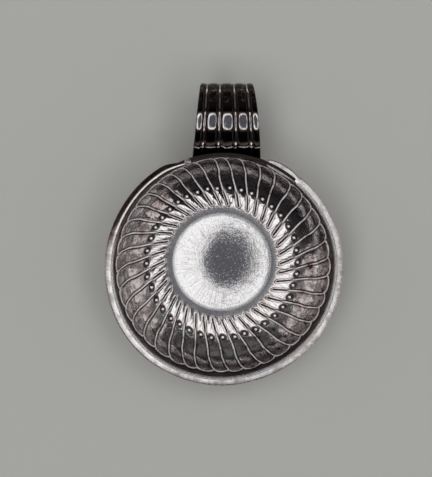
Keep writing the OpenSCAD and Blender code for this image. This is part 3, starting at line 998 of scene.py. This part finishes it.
def polar_noise(turns, rings):
    """Noise that changes this fast round the axis and this fast away from it."""
    around = add(tree, "VectorMath", {0: circle, 1: (turns, turns, 0)}, operation="MULTIPLY")
    outwards = add(tree, "CombineXYZ", {2: product(tree, radius, rings)})
    spot = add(tree, "VectorMath", {0: around, 1: outwards}, operation="ADD")
    return noise(tree, spot, 1.0, 2.0, 0.7)


satin = fade(tree, reach, 0.4, -0.4)
rings = polar_noise(6.0, 1500.0)
rays = fade(tree, polar_noise(30.0, 120.0), 0.46, 0.64, 0.0, 0.28)
rays = product(tree, rays, fade(tree, radius, 0.008, 0.011))
rays = product(tree, rays, fade(tree, radius, 0.0125, 0.0155, 1.0, 0.5))
speckle = noise(tree, place, 1700.0, 3.0, 0.75)
dull = sum_of(tree, product(tree, rings, 0.8), product(tree, speckle, 1.6))
dull = sum_of(tree, fade(tree, dull, 0.9, 1.7, -0.05, 0.1), rays)
dull = product(tree, dull, satin)
streaks = product(tree, fade(tree, reach, 0.8, 2.2), fade(tree, reach, 8.6, 6.6))
streaks = product(tree, streaks, fade(tree, polar_noise(42.0, 160.0), 0.47, 0.62, 0.0, 0.48))
# Painted shade: the right side of the floor ring and the ridge tips is painted darker.
right_side_shade = product(tree, fade(tree, sideways, -0.005, 0.02, 0.0, 0.15), fade(tree, reach, 6.5, 3.5))
streaks = sum_of(tree, streaks, product(tree, right_side_shade, fade(tree, reach, 1.0, 2.5)))
dull = sum_of(tree, dull, streaks)
tree.links.new(colours(tree, sum_of(tree, tarnish_and_shade, dull), TARNISH), shader.inputs["Base Color"])
print("colour of the bowl has", len(TARNISH), "stops from bare to black")

# %% [markdown]
# Two bumps lie over each other: slow dents from the hammer, and fine scratches with the
# grain of the satin dome and the mark of the compass point in its middle. Finer relief
# is cheaper as a bump than as faces, and nobody sees its outline.

# %% Bowl scratches
hairs = sum_of(tree, scratches(tree, place, 25, 2600.0), scratches(tree, place, 118, 2300.0))
compass_mark = fade(tree, radius, 0.0005, 0.0001, 0.0, -1.5)
scoured = sum_of(tree, sum_of(tree, rings, speckle), compass_mark)
grain = sum_of(tree, product(tree, hairs, 0.6), product(tree, scoured, satin))
dents = noise(tree, place, 330.0, 2.0, 0.5)
dents = product(tree, dents, fade(tree, reach, 4.0, 11.0, 0.3, 1.0))
hammered = add(tree, "Bump", {"Strength": 1.0, "Distance": 0.0002, "Height": dents})
bump = add(tree, "Bump", {"Strength": 0.5, "Distance": 0.00003, "Height": grain, "Normal": hammered})
tree.links.new(bump, shader.inputs["Normal"])
print("bowl bumps are 0.2 and 0.03 mm deep")

# %% [markdown]
# The polish differs over the bowl. The satin dome and the ring round it scatter light,
# the wall on the near side is rubbed matt, and tarnish is duller than bare silver.

# %% Bowl polish
sparkle = fade(tree, speckle, 0.5, 0.68, 0.03, 0.24)
gloss = sum_of(tree, fade(tree, cloud, 0.2, 0.8, 0.05, 0.11), product(tree, satin, sparkle))
towards = add(tree, "SeparateXYZ", {0: centred}, output=1)
rubbed = product(tree, fade(tree, reach, 5.5, 9.0, 0.0, 0.1), fade(tree, reach, 19.0, 16.0))
gloss = sum_of(tree, gloss, product(tree, rubbed, fade(tree, towards, 0.004, 0.02, 1.0, 0.0)))
gloss = sum_of(tree, gloss, product(tree, worn, fade(tree, reach, 8.0, 14.0, 0.0, 0.1)))
ring_satin = product(tree, fade(tree, reach, -1.4, -0.1), fade(tree, reach, 3.2, 1.8, 0.0, 0.17))
gloss = sum_of(tree, gloss, ring_satin)
tree.links.new(sum_of(tree, gloss, product(tree, tarnish_and_shade, 0.15)), shader.inputs["Roughness"])
fluted_bowl.data.materials.append(bowl_finish)
print("bowl finish has", len(tree.nodes), "nodes")

# %% [markdown]
# ## The rim's finish
# Hands and lips polish the wire. Its outer half and outer edge are darker, partly tarnish and partly
# painted shade on the side that turns down from the light. The shade attribute darkens the side left of the
# handle, and the line attribute draws the thin bright line there as a painted highlight, again with little
# metal.

# %% Rim finish
BRIGHT = [(0.0, (0.93, 0.905, 0.9)), *TARNISH[1:]]

rim_finish, tree, shader = start_finish("worn_wire_silver")
place = add(tree, "TexCoord", output=3)
shade, edge, inner_highlight_line = [carried(tree, key) for key in ("shade", "edge", "line")]
cloud = noise(tree, place, 420.0, 5.0, 0.65)
# Partly tarnish, partly painted shade: the outer half of the wire is painted greyer and its outer edge
# darker.
edges = sum_of(tree, fade(tree, edge, -0.5, 0.5, 0.0, 0.26), fade(tree, edge, 0.82, 0.98, 0.0, 0.7))
tarnish_and_shade = sum_of(tree, fade(tree, cloud, 0.42, 0.75, -0.05, 0.28), sum_of(tree, shade, edges))
tree.links.new(fade(tree, inner_highlight_line, 0.0, 1.0, 1.0, 0.1), shader.inputs["Metallic"])
tree.links.new(colours(tree, tarnish_and_shade, BRIGHT), shader.inputs["Base Color"])
tree.links.new(fade(tree, cloud, 0.25, 0.75, 0.2, 0.34), shader.inputs["Roughness"])
hairs = sum_of(tree, scratches(tree, place, 40, 2400.0), scratches(tree, place, 130, 2400.0))
uneven = sum_of(tree, hairs, cloud)
bump = add(tree, "Bump", {"Strength": 0.4, "Distance": 0.00003, "Height": uneven})
tree.links.new(bump, shader.inputs["Normal"])
rim_wire.data.materials.append(rim_finish)
print("rim finish has", len(tree.nodes), "nodes")

# %% [markdown]
# ## The strap's finish
# The strap's reeds are bright on their crowns, and the grooves between them are black, because polish never
# gets to the bottom of them. Each reed is left bright only in a short field with round ends, and is painted
# dark as painted shade before and after it, so that the highlight shows only there. The dark starts earlier
# near the grooves.

# %% Reeds and grooves
BLACK = [*TARNISH[:3], (1.0, (0.034, 0.028, 0.025))]
HIGHLIGHT_FIELD_START = (13.9, 13.1)
HIGHLIGHT_FIELD_END = (18.3, 19.3)

strap_finish, tree, shader = start_finish("reeded_silver")
place = add(tree, "TexCoord", output=3)
groove, run, thread = [carried(tree, key) for key in ("groove", "run", "thread")]
cloud = noise(tree, place, 220.0, 4.0, 0.6)
tarnish_and_shade = product(tree, fade(tree, groove, 0.82, 0.55), fade(tree, cloud, 0.2, 0.6, 0.75, 1.0))
tarnish_and_shade = sum_of(tree, tarnish_and_shade, fade(tree, cloud, 0.3, 0.75, 0.0, 0.25))
corner = fade(tree, groove, 1.0, 0.66, 0.0, 1.1)
before = add(tree, "Math", {0: run, 1: corner}, operation="SUBTRACT")
# Painted shade: before and after the bright field the reeds are painted dark, so their highlight shows only
# there and the far end stays dark.
tarnish_and_shade = sum_of(tree, tarnish_and_shade, fade(tree, sum_of(tree, run, corner), *HIGHLIGHT_FIELD_END))
tarnish_and_shade = sum_of(tree, tarnish_and_shade, fade(tree, before, *HIGHLIGHT_FIELD_START))
# Painted highlight: the threads are painted less dark than the reeds.
tarnish_and_shade = product(tree, tarnish_and_shade, fade(tree, thread, 0.3, 0.9, 1.0, 0.3))
crust = noise(tree, place, 900.0, 4.0, 0.7)
bare_spots = product(tree, fade(tree, run, 20.0, 24.0), fade(tree, crust, 0.5, 0.66, 0.0, -0.3))
tarnish_and_shade = sum_of(tree, tarnish_and_shade, bare_spots)
print("bright fields lie", HIGHLIGHT_FIELD_START[0], "to", HIGHLIGHT_FIELD_END[0], "mm from the strap's root")

# %% [markdown]
# A wavy pale line is painted across the strap's root, a painted highlight along the seam. Its place is a
# run along the strap that noise shifts to and fro. A piece of its own would be thinner than paper, so the
# line is part of the finish.

# %% Seam line and polish
SEAM_RUN = 7.5
SEAM_WAVES = 2.2

across = add(tree, "SeparateXYZ", {0: place})
ripple = add(tree, "TexNoise", {1: product(tree, across, 420.0), 2: 1.0, 3: 2.0}, noise_dimensions="1D")
wavy_run = sum_of(tree, run, product(tree, ripple, SEAM_WAVES))
from_seam = add(tree, "Math", {0: wavy_run, 1: SEAM_RUN}, operation="SUBTRACT")
from_seam = add(tree, "Math", {0: from_seam}, operation="ABSOLUTE")
# Painted highlight: a pale, nearly metal-free line along the seam at the root.
seam_highlight = product(tree, fade(tree, from_seam, 0.4, 0.15), fade(tree, crust, 0.35, 0.55, 0.3, 1.0))
tarnish_and_shade = product(tree, tarnish_and_shade, fade(tree, seam_highlight, 0.0, 1.0, 1.0, 0.35))
gloss = sum_of(tree, fade(tree, cloud, 0.25, 0.75, 0.03, 0.07), product(tree, tarnish_and_shade, 0.08))
tree.links.new(fade(tree, seam_highlight, 0.0, 1.0, 1.0, 0.1), shader.inputs["Metallic"])
tree.links.new(colours(tree, tarnish_and_shade, BLACK), shader.inputs["Base Color"])
tree.links.new(gloss, shader.inputs["Roughness"])
hairs = scratches(tree, place, 90, 2600.0)
dents = noise(tree, place, 260.0, 2.0, 0.5)
uneven = add(tree, "Bump", {"Strength": 1.0, "Distance": 0.0001, "Height": dents})
bump = add(tree, "Bump", {"Strength": 0.6, "Distance": 0.00005, "Height": hairs, "Normal": uneven})
tree.links.new(bump, shader.inputs["Normal"])
strap_loop.data.materials.append(strap_finish)
print("strap finish has", len(tree.nodes), "nodes")

# %% [markdown]
# ## The solder
# The strap is held by two runs of solder, dull and dark against the silver. Their
# solids already have the right shape, so they stay as they are and only get a finish.

# %% Solder finish
SOLDER_GREYS = [(0.3, (0.08, 0.065, 0.06)), (0.7, (0.27, 0.25, 0.235))]

solder_finish, tree, shader = start_finish("dull_solder")
place = add(tree, "TexCoord", output=3)
cloud = noise(tree, place, 700.0, 4.0, 0.65)
bump = add(tree, "Bump", {"Strength": 0.5, "Distance": 0.0001, "Height": cloud})
tree.links.new(colours(tree, cloud, SOLDER_GREYS), shader.inputs["Base Color"])
tree.links.new(fade(tree, cloud, 0.3, 0.7, 0.35, 0.55), shader.inputs["Roughness"])
tree.links.new(bump, shader.inputs["Normal"])
for node in ("upper_solder", "lower_solder"):
    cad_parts[node].material_slots[0].material = solder_finish
print("solder finish on two seams")

# %% [markdown]
# ## The floor
# The cup stands on a plain grey sheet. It is one large face, so that no edge of it comes
# into view, and it is matt, so that the cup's shadow on it stays soft.

# %% Floor
sheet = bmesh.new()
bmesh.ops.create_grid(sheet, x_segments=1, y_segments=1, size=2.5)
floor_data = bpy.data.meshes.new("grey_sheet")
sheet.to_mesh(floor_data)
sheet.free()
floor = bpy.data.objects.new("grey_sheet", floor_data)
bpy.context.scene.collection.objects.link(floor)
floor_finish, tree, shader = start_finish("grey_paper")
shader.inputs["Metallic"].default_value = 0.0
shader.inputs["Base Color"].default_value = (0.41, 0.413, 0.397, 1)
shader.inputs["Roughness"].default_value = 0.9
shader.inputs["Specular IOR Level"].default_value = 0.1
floor.data.materials.append(floor_finish)
print("floor at height", floor.location.z)

# %% [markdown]
# ## The light
# Polished silver has no look of its own: it shows what stands round it, so the places of
# the lamps matter more than anything in the finish. The largest is a soft panel above.
# Its edges are given as angles from the vertical over the cup, because a mirror sees
# angles and not lengths.

# %% Light panel
LIGHT_Z = 1.2
PANEL_LEVEL = 1.08


def soft_light(name, place, facing, wide, deep, level, colour=(1, 1, 1)):
    """A flat lamp of a given brightness, whatever its size."""
    lamp = bpy.data.lights.new(name, "AREA")
    lamp.shape = "RECTANGLE"
    lamp.size = wide
    lamp.size_y = deep
    lamp.energy = level * math.pi * wide * deep
    lamp.color = colour
    holder = bpy.data.objects.new(name, lamp)
    holder.location = place
    holder.rotation_mode = "QUATERNION"
    holder.rotation_quaternion = Vector(facing).to_track_quat("-Z", "Y")
    bpy.context.scene.collection.objects.link(holder)
    return holder


def off_vertical(degrees):
    """Distance at the panel's height that lies at an angle from the vertical."""
    return LIGHT_Z * math.tan(math.radians(degrees))


left, right_end, front, rear = [off_vertical(degrees) for degrees in (-30, 35, -35.5, 30)]
panel_place = ((left + right_end) / 2, (front + rear) / 2, LIGHT_Z)
soft_light("panel", panel_place, (0, 0, -1), right_end - left, rear - front, PANEL_LEVEL)
print("light panel from", round(front, 2), "to", round(rear, 2), "m, lit at", PANEL_LEVEL)

# %% [markdown]
# A dim round card hangs just under the panel. The dome and the ring round it are nearly
# level, so they mirror this card and look darker than the wall.

# %% Round card
CARD_BELOW = 0.02

disc = bmesh.new()
card_left, card_right, card_front, card_rear = [off_vertical(degrees) for degrees in (-13.5, 24, -27, 14.5)]
card_size = (card_right - card_left, card_rear - card_front, 1)
card_place = ((card_left + card_right) / 2, (card_front + card_rear) / 2, LIGHT_Z - CARD_BELOW)
bmesh.ops.create_circle(disc, cap_ends=True, segments=64, radius=0.5)
bmesh.ops.scale(disc, verts=disc.verts[:], vec=card_size)
bmesh.ops.translate(disc, verts=disc.verts[:], vec=card_place)
disc_data = bpy.data.meshes.new("round_card")
disc.to_mesh(disc_data)
disc.free()
round_card = bpy.data.objects.new("round_card", disc_data)
bpy.context.scene.collection.objects.link(round_card)
card_finish, tree, shader = start_finish("grey_card")
shader.inputs["Metallic"].default_value = 0.0
shader.inputs["Base Color"].default_value = (0.05, 0.05, 0.05, 1)
shader.inputs["Emission Color"].default_value = (0.78, 0.8, 1.0, 1)
shader.inputs["Emission Strength"].default_value = 0.07
round_card.data.materials.append(card_finish)
print("round card is", [round(side, 2) for side in card_size[:2]], "m")

# %% [markdown]
# Cards at the sides, set apart from each other, give the upper wall its bright and dark fields. Low cards
# near the table show in the steepest faces. They are slightly warm, as light in an old room is. The fill
# brightens the floor and the pale lines, which are partly wear and partly painted highlight, but no mirror
# shows it, and a faint card behind reaches the far side.

# %% Cards and fill
WARM = (1, 0.92, 0.9)
SIDE_CARDS = [
    (1, -0.5, 0.35),
    (1, 0.1, 0.5),
    (1, 0.75, 0.4),
    (-1, -0.1, 0.45),
    (-1, 0.45, 0.5),
    (-1, 1.0, 0.3),
    (0.8, -0.95, 0.4),
]
LOW_CARDS = [
    ((0, -1.2, 0.09), 1.6, 2.3),
    ((0, 1.2, 0.1), 2.4, 1.0),
    ((1.25, 0, 0.14), 2.4, 1.3),
    ((-1.25, 0, 0.14), 2.4, 1.0),
]
ROOM = (0.02, 0.02, 0.022, 1)

for side, forward, wide in SIDE_CARDS:
    place = Vector((side * 1.2, forward, 0.6))
    soft_light("side_card", place, -place, wide, 0.8, 0.6, WARM)
for place, wide, level in LOW_CARDS:
    soft_light("low_card", place, (-place[0], -place[1], 0), wide, 2 * place[2], level, WARM)
fill = soft_light("floor_fill", (0, 0, 2.0), (0, 0, -1), 3.0, 3.0, 1.7)
fill.visible_glossy = False
soft_light("rear_card", (0, 1.3, 0.75), (0, -1, -0.45), 1.6, 0.7, 0.1)
world = bpy.data.worlds.new("dim_room")
bpy.context.scene.world = world
world.use_nodes = True
world.node_tree.nodes["Background"].inputs["Color"].default_value = ROOM
print("set up", len(SIDE_CARDS), "side cards and", len(LOW_CARDS), "low cards")
